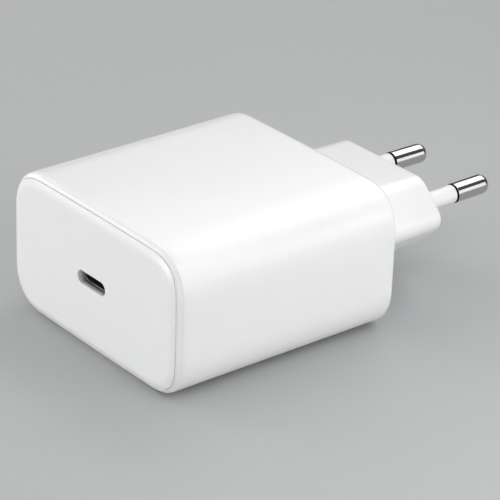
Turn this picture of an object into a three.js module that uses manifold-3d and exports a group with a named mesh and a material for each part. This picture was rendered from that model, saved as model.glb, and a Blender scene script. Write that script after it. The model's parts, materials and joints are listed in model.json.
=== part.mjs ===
// USB wall charger with a fixed two-pin European plug and one USB-C outlet.
// Units are millimetres, +Z is up. The outlet faces -Y and the mains pins point to +Y.
// The origin is at the middle of the whole object's footprint, on the face it rests on.
import * as THREE from "three";
import { mergeVertices } from "three/addons/utils/BufferGeometryUtils.js";
import Module from "manifold-3d";

const wasm = await Module();
wasm.setup();

// ---------- driving dimensions ----------

// body
const BODY_WIDTH = 51.7;
const BODY_HEIGHT = 29.15;
const BODY_DEPTH = 51.1;
const CORNER_RADIUS = 9.0; // long-way corners of the cross-section
const CORNER_POWER = 2.45; // above 2 the corner eases into the flats
const CORNER_STEPS = 8;
const FRONT_EDGE = 2.7; // rounding of the front edge, shared by housing and cover
const REAR_EDGE = 1.7;
const WALL = 1.9;

// plug, after the 2.5 A flat two-pin standard
const BOSS_LENGTH = 19.2;
const BOSS_FLAT_HALF = 11.3; // half width of the flat top
const BOSS_HALF_HEIGHT = 6.95;
const BOSS_SLOPE = THREE.MathUtils.degToRad(43.9); // of the four sloping sides
const BOSS_DRAFT = 0.25;
const BOSS_TOP_RADIUS = 4.4;
const BOSS_SIDE_RADIUS = 2.8;
const BOSS_WALL = 1.8;
const BOSS_END_WALL = 3.5;
const BOSS_END_EDGE = 0.8;
const PIN_LENGTH = 18.65;
const PIN_RADIUS = 2.0;
const PIN_BARE = 8.7; // metal past the insulating sleeve
const PIN_GAP_AT_FACE = 18.6; // between the pins' axes
const PIN_GAP_AT_TIP = 18.1;
const PIN_SEGMENTS = 24;

// front cover
const SEAM_INSET = 1.12; // from the body's side to the seam
const SEAM_GAP = 0.12;
const COVER_THICKNESS = 2.0;
const PORT_WIDTH = 8.7; // of the opening at the front
const PORT_HEIGHT = 2.8;
const PORT_DEPTH = 1.6; // from there the opening is wider and lets the receptacle in
const PORT_POCKET = 0.35; // how much wider on each side

// places that follow from them
const LENGTH = BODY_DEPTH + BOSS_LENGTH + PIN_LENGTH;
const FRONT_Y = -LENGTH / 2;
const REAR_Y = FRONT_Y + BODY_DEPTH;
const BOSS_FACE_Y = REAR_Y + BOSS_LENGTH;
const AXIS_Z = BODY_HEIGHT / 2; // of the body and the outlet
const PLUG_Z = AXIS_Z - 0.15; // of the boss and the pins
const COVER_BACK_Y = FRONT_Y + COVER_THICKNESS;
const CAVITY_REAR_Y = REAR_Y - 2.0;
const BOARD_BOTTOM = 6.2;
const BOARD_TOP = BOARD_BOTTOM + 1.2;

// ---------- materials ----------

const paint = (color, roughness, metalness = 0) =>
  new THREE.MeshStandardMaterial({ color, roughness, metalness });

const casing = paint(0xf4f5f5, 0.35);
const sleevePlastic = paint(0xf2f3f3, 0.4);
const nickel = paint(0xc9c9c6, 0.18, 1);
const springBronze = paint(0xc08a52, 0.35, 1);
const darkSteel = paint(0x3a3b3d, 0.4, 1);
const blackResin = paint(0x111214, 0.5);
const boardGreen = paint(0x1c5c34, 0.45);
const fuseBrown = paint(0x4a3226, 0.5);
const thermistorGreen = paint(0x2f4a3a, 0.6);
const filmYellow = paint(0xd9b23c, 0.45);
const ferrite = paint(0x2b2c2e, 0.75);
const enamelCopper = paint(0xb5642c, 0.3, 1);
const capacitorSleeve = paint(0x1e2a44, 0.4);
const aluminium = paint(0xb9bcc0, 0.35, 1);
const discBlue = paint(0x2b5fae, 0.45);
const bobbinResin = paint(0x202124, 0.55);
const tapeAmber = paint(0xd8a63a, 0.4);
const siliconeGrey = paint(0x8d9399, 0.85);
const filmClear = paint(0xe9e6d8, 0.3);

// ---------- making solids ----------

const group = new THREE.Group();

// A geometry with its vertices merged and its faces pointing out, as one closed body.
function closed(geometry) {
  const bare = new THREE.BufferGeometry();
  bare.setAttribute("position", geometry.getAttribute("position").clone());
  if (geometry.index) bare.setIndex(geometry.index.clone());
  const merged = mergeVertices(bare, 1e-4);
  const at = merged.getAttribute("position");
  const index = Array.from(merged.index.array);
  const faces = [];
  for (let i = 0; i < index.length; i += 3) {
    const [a, b, c] = index.slice(i, i + 3);
    if (a !== b && b !== c && a !== c) faces.push([a, b, c]);
  }
  const corner = (i) => new THREE.Vector3().fromBufferAttribute(at, i);
  const volume = faces.reduce(
    (sum, [a, b, c]) => sum + corner(a).dot(corner(b).cross(corner(c))),
    0,
  );
  const facing = volume < 0 ? faces.map(([a, b, c]) => [a, c, b]) : faces;
  merged.setIndex(facing.flat());
  return merged;
}

function toSolid(geometry) {
  const g = closed(geometry);
  return new wasm.Manifold(
    new wasm.Mesh({
      numProp: 3,
      vertProperties: new Float32Array(g.getAttribute("position").array),
      triVerts: new Uint32Array(g.index.array),
    }),
  );
}

function fromSolid(solid) {
  const mesh = solid.getMesh();
  const g = new THREE.BufferGeometry();
  g.setAttribute(
    "position",
    new THREE.BufferAttribute(new Float32Array(mesh.vertProperties), 3),
  );
  g.setIndex(new THREE.BufferAttribute(new Uint32Array(mesh.triVerts), 1));
  return g;
}

const join = (...geometries) =>
  fromSolid(geometries.map(toSolid).reduce((a, b) => a.add(b)));

const cut = (base, ...tools) =>
  fromSolid(tools.map(toSolid).reduce((a, b) => a.subtract(b), toSolid(base)));

function add(name, geometry, material, parent = group) {
  const mesh = new THREE.Mesh(closed(geometry), material);
  mesh.name = name;
  parent.add(mesh);
  return mesh;
}

// A box from its lowest to its highest corner.
function block(low, high) {
  const size = high.map((v, i) => v - low[i]);
  const middle = high.map((v, i) => (v + low[i]) / 2);
  return new THREE.BoxGeometry(...size).translate(...middle);
}

// A round bar or disc along "x", "y" or "z", from one coordinate to another.
function bar(along, radius, from, to, centre, segments = 20) {
  const g = new THREE.CylinderGeometry(radius, radius, to - from, segments);
  if (along === "x") g.rotateZ(Math.PI / 2);
  if (along === "z") g.rotateX(Math.PI / 2);
  const place = {
    x: [(from + to) / 2, centre[0], centre[1]],
    y: [centre[0], (from + to) / 2, centre[1]],
    z: [centre[0], centre[1], (from + to) / 2],
  }[along];
  return g.translate(...place);
}

// A coated disc on edge whose faces look along x, with rounded rims.
function disc(radius, from, to, centre) {
  const half = (to - from) / 2;
  const rim = angles(0, Math.PI / 2, 3).map((t) => {
    const { inset, back } = roundEdge(1.1, t);
    return [radius - inset, half - back];
  });
  const profile = [
    [0, -half],
    ...rim.map(([r, y]) => [r, -y]).reverse(),
    ...rim,
    [0, half],
  ];
  return turned(profile, 24)
    .rotateZ(-Math.PI / 2)
    .translate((from + to) / 2, centre[0], centre[1]);
}

// A solid turned about +Y from (radius, y) points.
const turned = (profile, segments) =>
  new THREE.LatheGeometry(
    profile.map(([r, y]) => new THREE.Vector2(r, y)),
    segments,
  );

// A rectangle w by h in (x, z) whose corners are superelliptic arcs, anticlockwise.
function squircle(w, h, radius, power = CORNER_POWER, steps = CORNER_STEPS) {
  const ease = (v) => Math.sign(v) * Math.abs(v) ** (2 / power);
  const quarters = [0, 1, 2, 3];
  return quarters.flatMap((quarter) => {
    const sx = quarter === 0 || quarter === 3 ? 1 : -1;
    const sz = quarter < 2 ? 1 : -1;
    return Array.from({ length: steps + 1 }, (_, i) => {
      const t = ((quarter + i / steps) * Math.PI) / 2;
      return new THREE.Vector2(
        sx * (w / 2 - radius) + radius * ease(Math.cos(t)),
        sz * (h / 2 - radius) + radius * ease(Math.sin(t)),
      );
    });
  });
}

// The body's cross-section, inset all round.
const bodyOutline = (inset) =>
  squircle(
    BODY_WIDTH - 2 * inset,
    BODY_HEIGHT - 2 * inset,
    CORNER_RADIUS - inset,
  );

// The plug boss's six-sided section with rounded corners, inset all round.
function bossOutline(inset, steps = 4) {
  const h = BOSS_HALF_HEIGHT - inset;
  const sideX =
    BOSS_FLAT_HALF +
    BOSS_HALF_HEIGHT / Math.tan(BOSS_SLOPE) -
    inset / Math.sin(BOSS_SLOPE);
  const flatX = sideX - h / Math.tan(BOSS_SLOPE);
  const topRadius = Math.max(BOSS_TOP_RADIUS - inset, 0.4);
  const sideRadius = Math.max(BOSS_SIDE_RADIUS - inset, 0.4);
  const corners = [
    [sideX, 0, sideRadius],
    [flatX, h, topRadius],
    [-flatX, h, topRadius],
    [-sideX, 0, sideRadius],
    [-flatX, -h, topRadius],
    [flatX, -h, topRadius],
  ];
  return corners.flatMap(([x, z, radius], i) => {
    const corner = new THREE.Vector2(x, z);
    const [px, pz] = corners[(i + 5) % 6];
    const [nx, nz] = corners[(i + 1) % 6];
    const back = new THREE.Vector2(px, pz).sub(corner).normalize();
    const on = new THREE.Vector2(nx, nz).sub(corner).normalize();
    const halfAngle = Math.acos(back.dot(on)) / 2;
    const inward = back.clone().add(on).normalize();
    const centre = corner
      .clone()
      .addScaledVector(inward, radius / Math.sin(halfAngle));
    const sweep = Math.PI - 2 * halfAngle;
    const middle = Math.atan2(-inward.y, -inward.x);
    return Array.from({ length: steps + 1 }, (_, k) => {
      const t = middle + sweep * (k / steps - 0.5);
      return new THREE.Vector2(
        centre.x + radius * Math.cos(t),
        centre.y + radius * Math.sin(t),
      );
    });
  });
}

// A closed solid through outlines of equal length, each [outline, y], with y rising.
function loft(rings, z = AXIS_Z) {
  const count = rings[0][0].length;
  const positions = rings.flatMap(([outline, y]) =>
    outline.flatMap((p) => [p.x, y, p.y + z]),
  );
  const index = [];
  for (let r = 0; r + 1 < rings.length; r++) {
    for (let j = 0; j < count; j++) {
      const k = (j + 1) % count;
      const [a, b] = [r * count + j, r * count + k];
      const [d, c] = [a + count, b + count];
      index.push(a, d, c, a, c, b);
    }
  }
  const last = (rings.length - 1) * count;
  for (const [a, b, c] of THREE.ShapeUtils.triangulateShape(rings[0][0], [])) {
    index.push(a, b, c);
  }
  for (const [a, b, c] of THREE.ShapeUtils.triangulateShape(
    rings[rings.length - 1][0],
    [],
  )) {
    index.push(last + a, last + c, last + b);
  }
  const g = new THREE.BufferGeometry();
  g.setAttribute("position", new THREE.Float32BufferAttribute(positions, 3));
  g.setIndex(index);
  return g;
}

// A prism of one outline between two y.
const prism = (outline, from, to, z = AXIS_Z) =>
  loft(
    [
      [outline, from],
      [outline, to],
    ],
    z,
  );

// A box with rounded edges, from its lowest to its highest corner.
function softBlock(low, high, edge) {
  const outline = (inset) =>
    squircle(
      high[0] - low[0] - 2 * inset,
      high[2] - low[2] - 2 * inset,
      edge,
      2,
      3,
    );
  const bend = angles(0, Math.PI / 2, 2).map((t) => roundEdge(edge * 0.9, t));
  const near = bend
    .map(({ inset, back }) => [outline(inset), low[1] + back])
    .reverse();
  const far = bend.map(({ inset, back }) => [outline(inset), high[1] - back]);
  return loft([...near, ...far], (low[2] + high[2]) / 2).translate(
    (low[0] + high[0]) / 2,
    0,
    0,
  );
}

// A part raised off the board on two round leads at (x, y) places.
function onLeads(body, places, top) {
  const leads = places.map(([x, y]) => bar("z", 0.35, BOARD_TOP, top, [x, y], 10));
  return join(body, ...leads);
}

// A metal strip that follows (y, z) points, `thickness` thick and `width` wide in x.
function strip(points, thickness, width, x) {
  const path = points.map(([y, z]) => new THREE.Vector2(y, z));
  const side = (sign) =>
    path.map((p, i) => {
      const before = path[Math.max(i - 1, 0)];
      const after = path[Math.min(i + 1, path.length - 1)];
      const inTo = p.clone().sub(before).normalize();
      const out = after.clone().sub(p).normalize();
      if (i === 0) inTo.copy(out);
      if (i === path.length - 1) out.copy(inTo);
      const mean = inTo.clone().add(out).normalize();
      const normal = new THREE.Vector2(-mean.y, mean.x);
      const reach = thickness / 2 / mean.dot(out);
      return p.clone().addScaledVector(normal, sign * reach);
    });
  const shape = new THREE.Shape([...side(1), ...side(-1).reverse()]);
  const g = new THREE.ExtrudeGeometry(shape, {
    depth: width,
    bevelEnabled: false,
  });
  // the shape's (x, y) become (y, z), and its depth runs along x
  g.applyMatrix4(
    new THREE.Matrix4().makeBasis(
      new THREE.Vector3(0, 1, 0),
      new THREE.Vector3(0, 0, 1),
      new THREE.Vector3(1, 0, 0),
    ),
  );
  return g.translate(x - width / 2, 0, 0);
}

// Inset and setback of a rounded edge at an angle from the side (0) to the end face (90 degrees).
const roundEdge = (radius, angle) => ({
  inset: radius * (1 - Math.cos(angle)),
  back: radius * (1 - Math.sin(angle)),
});

// Angles from one to the other in equal steps, both ends included.
const angles = (from, to, steps) =>
  Array.from({ length: steps + 1 }, (_, i) => from + ((to - from) * i) / steps);

// ---------- casing ----------

const SEAM_ANGLE = Math.acos(1 - SEAM_INSET / FRONT_EDGE);

function mainHousing() {
  const front = angles(SEAM_ANGLE, 0, 4).map((t) => {
    const { inset, back } = roundEdge(FRONT_EDGE, t);
    return [bodyOutline(inset), FRONT_Y + back];
  });
  const rear = angles(0, Math.PI / 2, 4).map((t) => {
    const { inset, back } = roundEdge(REAR_EDGE, t);
    return [bodyOutline(inset), REAR_Y - back];
  });
  const outside = loft([...front, ...rear]);
  const mouth = prism(bodyOutline(SEAM_INSET), FRONT_Y - 1, COVER_BACK_Y + 0.1);
  const cavity = prism(bodyOutline(WALL), FRONT_Y, CAVITY_REAR_Y);
  const bossHole = prism(
    bossOutline(-BOSS_DRAFT - 0.15),
    CAVITY_REAR_Y - 1,
    REAR_Y + 1,
    PLUG_Z,
  );
  const shell = cut(outside, mouth, cavity, bossHole);
  // crush ribs that centre the wrapped electronics
  const ribReach = 0.8;
  const ribFrom = -32;
  const ribTo = CAVITY_REAR_Y + 0.5;
  const ribs = [-12, 12].flatMap((x) => [
    block([x - 0.6, ribFrom, WALL - 0.4], [x + 0.6, ribTo, WALL + ribReach]),
    block(
      [x - 0.6, ribFrom, BODY_HEIGHT - WALL - ribReach],
      [x + 0.6, ribTo, BODY_HEIGHT - WALL + 0.4],
    ),
  ]);
  const sideRibs = [-1, 1].map((s) => {
    const wallX = s * (BODY_WIDTH / 2 - WALL);
    const xs = [wallX - s * ribReach, wallX + s * 0.4].sort((a, b) => a - b);
    return block([xs[0], ribFrom, AXIS_Z - 0.6], [xs[1], ribTo, AXIS_Z + 0.6]);
  });
  return join(shell, ...ribs, ...sideRibs);
}

const stadium = (w, h, steps = 6) => squircle(w, h, h / 2 - 0.001, 2, steps);

function frontCover() {
  const coverInset = SEAM_INSET + SEAM_GAP;
  const startAngle = Math.acos(1 - coverInset / FRONT_EDGE);
  const rim = angles(Math.PI / 2, startAngle, 3).map((t) => {
    const { inset, back } = roundEdge(FRONT_EDGE, t);
    return [bodyOutline(inset), FRONT_Y + back];
  });
  const plate = loft([...rim, [bodyOutline(coverInset), COVER_BACK_Y]]);
  const tongue = cut(
    prism(bodyOutline(WALL + 0.2), COVER_BACK_Y - 0.5, COVER_BACK_Y + 3.2),
    prism(bodyOutline(WALL + 1.4), COVER_BACK_Y - 1, COVER_BACK_Y + 4),
  );
  // two ribs that press on the output board
  const ribs = [-10, 10].map((x) =>
    block(
      [x - 0.6, COVER_BACK_Y - 0.5, AXIS_Z - 5],
      [x + 0.6, OUTPUT_BOARD_FRONT - 0.1, AXIS_Z + 5],
    ),
  );
  const port = prism(
    stadium(PORT_WIDTH, PORT_HEIGHT),
    FRONT_Y - 1,
    COVER_BACK_Y + 1,
  );
  const pocket = prism(
    stadium(PORT_WIDTH + 2 * PORT_POCKET, PORT_HEIGHT + 2 * PORT_POCKET),
    FRONT_Y + PORT_DEPTH,
    COVER_BACK_Y + 1,
  );
  return cut(join(plate, tongue, ...ribs), port, pocket);
}

// ---------- mains plug ----------

// A group whose own +Y is a pin's axis and whose origin is where that axis meets the boss face.
function pinFrame(side) {
  const frame = new THREE.Group();
  frame.position.set((side * PIN_GAP_AT_FACE) / 2, BOSS_FACE_Y, PLUG_Z);
  frame.rotation.z =
    side * Math.atan((PIN_GAP_AT_FACE - PIN_GAP_AT_TIP) / 2 / PIN_LENGTH);
  frame.updateMatrix();
  return frame;
}

const PIN_TAIL_FROM = -11.3; // inside the boss, from the face
const PIN_NECK_FROM = -2.4;
const PIN_HEAD_FROM = PIN_LENGTH - PIN_BARE;
const TAIL_RADIUS = 1.5;
const NECK_RADIUS = 1.25;
const TIP_ROUND = 1.5;

function pin() {
  const tip = angles(0, Math.PI / 2, 5).map((t) => {
    const { inset, back } = roundEdge(TIP_ROUND, t);
    return [PIN_RADIUS - inset, PIN_LENGTH - back];
  });
  return turned(
    [
      [0, PIN_TAIL_FROM],
      [TAIL_RADIUS, PIN_TAIL_FROM],
      [TAIL_RADIUS, PIN_NECK_FROM],
      [NECK_RADIUS, PIN_NECK_FROM],
      [NECK_RADIUS, PIN_HEAD_FROM],
      [PIN_RADIUS - 0.15, PIN_HEAD_FROM],
      [PIN_RADIUS, PIN_HEAD_FROM + 0.15],
      ...tip,
      [0, PIN_LENGTH],
    ],
    PIN_SEGMENTS,
  );
}

// The insulating sleeve is waisted between the boss and the bare metal.
function pinSleeve() {
  const from = PIN_NECK_FROM + 0.1;
  const to = PIN_HEAD_FROM - 0.12;
  const inner = NECK_RADIUS + 0.05;
  const waist = [
    [1.95, 0],
    [1.84, 1.2],
    [1.76, 3],
    [1.72, 5.2],
    [1.74, 7.2],
    [1.82, to - 0.15],
    [1.7, to],
  ];
  return turned(
    [[inner, from], [1.95, from], ...waist, [inner, to], [inner, from]],
    PIN_SEGMENTS,
  );
}

function plugBoss(pinFrames) {
  const rear = angles(0, Math.PI / 2, 4).map((t) => {
    const { inset, back } = roundEdge(BOSS_END_EDGE, t);
    return [bossOutline(inset), BOSS_FACE_Y - back];
  });
  const outside = loft(
    [
      [bossOutline(-BOSS_DRAFT), CAVITY_REAR_Y - 0.5],
      [bossOutline(-BOSS_DRAFT), REAR_Y],
      ...rear,
    ],
    PLUG_Z,
  );
  const flange = prism(
    bossOutline(-2.2),
    CAVITY_REAR_Y - 1.5,
    CAVITY_REAR_Y - 0.05,
    PLUG_Z,
  );
  const hollow = prism(
    bossOutline(BOSS_WALL),
    CAVITY_REAR_Y - 2,
    BOSS_FACE_Y - BOSS_END_WALL,
    PLUG_Z,
  );
  const towerLength = 4.5;
  const tower = bar(
    "y",
    3.1,
    -BOSS_END_WALL - towerLength,
    -BOSS_END_WALL + 0.5,
    [0, 0],
  );
  const tailHole = bar(
    "y",
    TAIL_RADIUS + 0.12,
    PIN_TAIL_FROM - 1,
    PIN_NECK_FROM + 0.05,
    [0, 0],
    PIN_SEGMENTS,
  );
  const sleeveHole = bar("y", 2.05, PIN_NECK_FROM, 2, [0, 0], PIN_SEGMENTS);
  const placed = (g) => pinFrames.map((f) => g.clone().applyMatrix4(f.matrix));
  return cut(
    join(cut(join(outside, flange), hollow), ...placed(tower)),
    ...placed(tailHole),
    ...placed(sleeveHole),
  );
}

// Spring strip that presses up on a pin's tail and stands on the main board.
function pinContact(x) {
  const under = PLUG_Z - TAIL_RADIUS - 0.35;
  return strip(
    [
      [-0.7, BOARD_TOP],
      [-0.7, under - 1.2],
      [0.5, under - 0.6],
      [8.0, under - 0.6],
      [13.6, under],
      [16.0, under],
      [16.9, under - 0.5],
    ],
    0.4,
    3,
    x,
  );
}

// ---------- USB-C outlet ----------

const SHELL_FRONT = FRONT_Y + 1.7;
const OUTPUT_BOARD_FRONT = SHELL_FRONT + 8.0;
const OUTPUT_BOARD_BACK = OUTPUT_BOARD_FRONT + 1.0;

function usbShell() {
  const tube = cut(
    prism(stadium(8.94, 3.26), SHELL_FRONT, OUTPUT_BOARD_FRONT - 0.3),
    prism(stadium(8.34, 2.56), SHELL_FRONT - 1, OUTPUT_BOARD_FRONT + 1),
  );
  const feet = [-1, 1].flatMap((sx) =>
    [SHELL_FRONT + 4.2, SHELL_FRONT + 6.2].map((y) =>
      block(
        [sx > 0 ? 4.3 : -4.7, y, AXIS_Z - 0.9],
        [sx > 0 ? 4.7 : -4.3, y + 1.2, AXIS_Z + 0.9],
      ),
    ),
  );
  return join(tube, ...feet);
}

// The moulding that carries the contacts: a thin tongue on a block that fills the shell's back.
function usbTongue() {
  const rootY = SHELL_FRONT + 5.3;
  return join(
    block(
      [-3.33, SHELL_FRONT + 0.9, AXIS_Z - 0.35],
      [3.33, rootY + 0.5, AXIS_Z + 0.35],
    ),
    block(
      [-3.33, SHELL_FRONT + 4.4, AXIS_Z - 0.62],
      [3.33, rootY + 0.5, AXIS_Z + 0.62],
    ),
    prism(stadium(8.2, 2.42), rootY, OUTPUT_BOARD_FRONT),
  );
}

// ---------- main board and its parts ----------

const BOARD_REAR = 2.4;
const BOARD_FRONT = OUTPUT_BOARD_FRONT - 0.8;

function mainBoard() {
  const blank = block(
    [-20.3, BOARD_FRONT, BOARD_BOTTOM],
    [20.3, BOARD_REAR, BOARD_TOP],
  );
  // isolation slot between the mains side and the output side, under the transformer
  const slot = block([-8, -26.5, BOARD_BOTTOM - 1], [-1, -25, BOARD_TOP + 1]);
  const notches = [-1, 1].map((s) =>
    block([s * 20.3 - 1, -6, BOARD_BOTTOM - 1], [s * 20.3 + 1, -3, BOARD_TOP + 1]),
  );
  return cut(blank, slot, ...notches);
}

function outputBoard() {
  const blank = block(
    [-13, OUTPUT_BOARD_FRONT, BOARD_TOP],
    [13, OUTPUT_BOARD_BACK, 21.6],
  );
  // slots for the receptacle's pegs, and holes for the pads that solder it to the main board
  const slots = [-1, 1].map((s) =>
    block(
      [s * 5.4 - 0.4, OUTPUT_BOARD_FRONT - 1, AXIS_Z - 1.1],
      [s * 5.4 + 0.4, OUTPUT_BOARD_BACK + 1, AXIS_Z + 1.1],
    ),
  );
  const holes = [-11, -8.5, 8.5, 11].map((x) =>
    bar("y", 0.5, OUTPUT_BOARD_FRONT - 1, OUTPUT_BOARD_BACK + 1, [x, BOARD_TOP + 1.4], 12),
  );
  return cut(blank, ...slots, ...holes);
}

// A pressed plate with its two long edges bent, and holes for the glue.
function heatSpreader(halfWidth, from, to, z, lip) {
  const t = 0.6;
  const plate = block([-halfWidth, from, z], [halfWidth, to, z + t]);
  const zs = lip > 0 ? [z, z + t + lip] : [z + lip, z + t];
  const lips = [-1, 1].map((s) => {
    const xs = [s * halfWidth, s * (halfWidth - t)].sort((a, b) => a - b);
    return block([xs[0], from + 2, zs[0]], [xs[1], to - 2, zs[1]]);
  });
  const holes = [0.2, 0.5, 0.8].flatMap((u) =>
    [-1, 1].map((s) =>
      bar(
        "z",
        1.0,
        z - 1,
        z + t + 1,
        [s * (halfWidth - 2.6), from + (to - from) * u],
        16,
      ),
    ),
  );
  return cut(join(plate, ...lips), ...holes);
}

// A can with a beaded neck, standing on the board.
function canCapacitor(radius, height) {
  return turned(
    [
      [0, 0],
      [radius, 0],
      [radius, 1.3],
      [radius - 0.5, 1.7],
      [radius, 2.1],
      [radius, height - 0.5],
      [radius - 0.5, height],
      [0, height],
    ],
    20,
  ).rotateX(Math.PI / 2);
}

// Chip body with gull-wing feet along two sides, lying under (down) or on (up) a board.
function chip(size, centre, boardZ, up, legs) {
  const [w, d, h] = size;
  const [x, y] = centre;
  const low = up ? boardZ + 0.1 : boardZ - 0.1 - h;
  const body = block(
    [x - w / 2, y - d / 2, low],
    [x + w / 2, y + d / 2, low + h],
  );
  const pitch = (w - 0.8) / Math.max(legs - 1, 1);
  const foot = (i, s) => {
    const legX = x - w / 2 + 0.4 + i * pitch;
    const edge = y + (s * d) / 2;
    const ys = [edge - s * 0.2, edge + s * 0.8].sort((a, b) => a - b);
    const zs = up ? [boardZ, boardZ + 0.35] : [boardZ - 0.35, boardZ];
    return block([legX - 0.2, ys[0], zs[0]], [legX + 0.2, ys[1], zs[1]]);
  };
  const feet = Array.from({ length: legs }, (_, i) => [
    foot(i, -1),
    foot(i, 1),
  ]).flat();
  return join(body, ...feet);
}

// A flat leadless package: a moulded body with a metal pad's step against the board.
function flatPackage(low, high, axis, boardSide) {
  const body = [low, high].map((c) => [...c]);
  const pad = [low, high].map((c) => [...c]);
  const step = 0.15;
  const others = [0, 1, 2].filter((i) => i !== axis);
  others.forEach((i) => {
    pad[0][i] += 0.5;
    pad[1][i] -= 0.5;
  });
  body[boardSide][axis] += boardSide ? -step : step;
  return join(block(...body), block(...pad));
}

// ---------- common-mode choke: a toroid on edge, with a winding on each half ----------

const CHOKE = { x: 0, y: -5.6, z: BOARD_TOP + 6.9 };
const CHOKE_INNER = 3.0;
const CHOKE_OUTER = 5.6;
const CHOKE_HALF = 2.4;

const placeChoke = (g) => g.translate(CHOKE.x, CHOKE.y, CHOKE.z);

function chokeCore() {
  return placeChoke(
    turned(
      [
        [CHOKE_INNER, -CHOKE_HALF],
        [CHOKE_OUTER, -CHOKE_HALF],
        [CHOKE_OUTER, CHOKE_HALF],
        [CHOKE_INNER, CHOKE_HALF],
        [CHOKE_INNER, -CHOKE_HALF],
      ],
      28,
    ),
  );
}

// The outer shape of one winding: a bent square tube round the core, 140 degrees long.
function chokeWinding(side) {
  const skin = 0.9;
  const gap = 0.06;
  const arc = THREE.MathUtils.degToRad(140);
  const start = side > 0 ? -arc / 2 : Math.PI - arc / 2;
  const steps = 12;
  const sector = (inner, outer, half) => {
    const shape = new THREE.Shape();
    const at = (r, i) => {
      const t = start + (arc * i) / steps;
      return new THREE.Vector2(r * Math.cos(t), r * Math.sin(t));
    };
    const out = Array.from({ length: steps + 1 }, (_, i) => at(outer, i));
    const back = Array.from({ length: steps + 1 }, (_, i) =>
      at(inner, steps - i),
    );
    shape.setFromPoints([...out, ...back]);
    return new THREE.ExtrudeGeometry(shape, {
      depth: 2 * half,
      bevelEnabled: false,
    })
      .rotateX(Math.PI / 2)
      .translate(0, half, 0);
  };
  const outside = sector(
    CHOKE_INNER - skin,
    CHOKE_OUTER + skin,
    CHOKE_HALF + skin,
  );
  const coreRoom = turned(
    [
      [CHOKE_INNER - gap, -CHOKE_HALF - gap],
      [CHOKE_OUTER + gap, -CHOKE_HALF - gap],
      [CHOKE_OUTER + gap, CHOKE_HALF + gap],
      [CHOKE_INNER - gap, CHOKE_HALF + gap],
      [CHOKE_INNER - gap, -CHOKE_HALF - gap],
    ],
    28,
  );
  return placeChoke(cut(outside, coreRoom));
}

// ---------- transformer ----------

const TRAFO = { x: -9.6, y: -20.2, low: BOARD_TOP + 0.8, high: 23.7 };
const TRAFO_HALF_X = 10.0;
const TRAFO_HALF_Y = 8.6;
const TRAFO_PLATE = 2.6;
const TRAFO_POST = 4.2;
const TRAFO_SPLIT = (TRAFO.low + TRAFO.high) / 2;

// One ferrite half: a back plate, two outer walls and the round centre post.
function transformerCore(lower) {
  const [from, to] = lower
    ? [TRAFO.low, TRAFO_SPLIT - 0.03]
    : [TRAFO_SPLIT + 0.03, TRAFO.high];
  const plateZ = lower
    ? [from, from + TRAFO_PLATE]
    : [to - TRAFO_PLATE, to];
  const { x, y } = TRAFO;
  const plate = block(
    [x - TRAFO_HALF_X, y - TRAFO_HALF_Y, plateZ[0]],
    [x + TRAFO_HALF_X, y + TRAFO_HALF_Y, plateZ[1]],
  );
  const wall = 1.9;
  const walls = [-1, 1].map((s) => {
    const xs = [s * TRAFO_HALF_X, s * (TRAFO_HALF_X - wall)].sort((a, b) => a - b);
    return block(
      [x + xs[0], y - TRAFO_HALF_Y, from],
      [x + xs[1], y + TRAFO_HALF_Y, to],
    );
  });
  const post = bar("z", TRAFO_POST, from, to, [x, y], 24);
  return join(plate, ...walls, post);
}

const windowLow = TRAFO.low + TRAFO_PLATE + 0.1;
const windowHigh = TRAFO.high - TRAFO_PLATE - 0.1;

// Rings about the transformer's upright axis are turned about +Y and stood up.
const standUp = (g, z = 0) => g.rotateX(Math.PI / 2).translate(TRAFO.x, TRAFO.y, z);

function transformerBobbin() {
  const tubeIn = TRAFO_POST + 0.15;
  const tubeOut = TRAFO_POST + 0.9;
  const flangeOut = 7.9;
  const height = windowHigh - windowLow;
  const spool = standUp(
    turned(
      [
        [tubeIn, 0],
        [flangeOut, 0],
        [flangeOut, 0.7],
        [tubeOut, 0.7],
        [tubeOut, height - 0.7],
        [flangeOut, height - 0.7],
        [flangeOut, height],
        [tubeIn, height],
        [tubeIn, 0],
      ],
      28,
    ),
    windowLow,
  );
  // pin rails stand on the board in front of and behind the core
  const rails = [-1, 1].map((s) => {
    const near = TRAFO.y + s * (TRAFO_HALF_Y + 0.1);
    const far = near + s * 1.8;
    const ys = [near, far].sort((a, b) => a - b);
    return block(
      [TRAFO.x - 8, ys[0], BOARD_TOP],
      [TRAFO.x + 8, ys[1], windowLow + 0.7],
    );
  });
  const bridges = [-1, 1].map((s) => {
    const near = TRAFO.y + s * 7;
    const far = TRAFO.y + s * (TRAFO_HALF_Y + 0.5);
    const ys = [near, far].sort((a, b) => a - b);
    return block(
      [TRAFO.x - 4, ys[0], windowLow],
      [TRAFO.x + 4, ys[1], windowLow + 0.7],
    );
  });
  return join(spool, ...rails, ...bridges);
}

const ring = (inner, outer, low, high, segments = 28) =>
  standUp(
    turned(
      [
        [inner, 0],
        [outer, 0],
        [outer, high - low],
        [inner, high - low],
        [inner, 0],
      ],
      segments,
    ),
    low,
  );

// ---------- the assembly ----------

add("main_housing", mainHousing(), casing);
add("front_cover", frontCover(), casing);

const pinFrames = [pinFrame(-1), pinFrame(1)];
add("plug_boss", plugBoss(pinFrames), casing);
["left", "right"].forEach((sideName, i) => {
  group.add(pinFrames[i]);
  add(`pin_${sideName}`, pin(), nickel, pinFrames[i]);
  add(`pin_sleeve_${sideName}`, pinSleeve(), sleevePlastic, pinFrames[i]);
  const side = i === 0 ? -1 : 1;
  add(`pin_contact_${sideName}`, pinContact(side * 9.4), springBronze);
});

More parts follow.
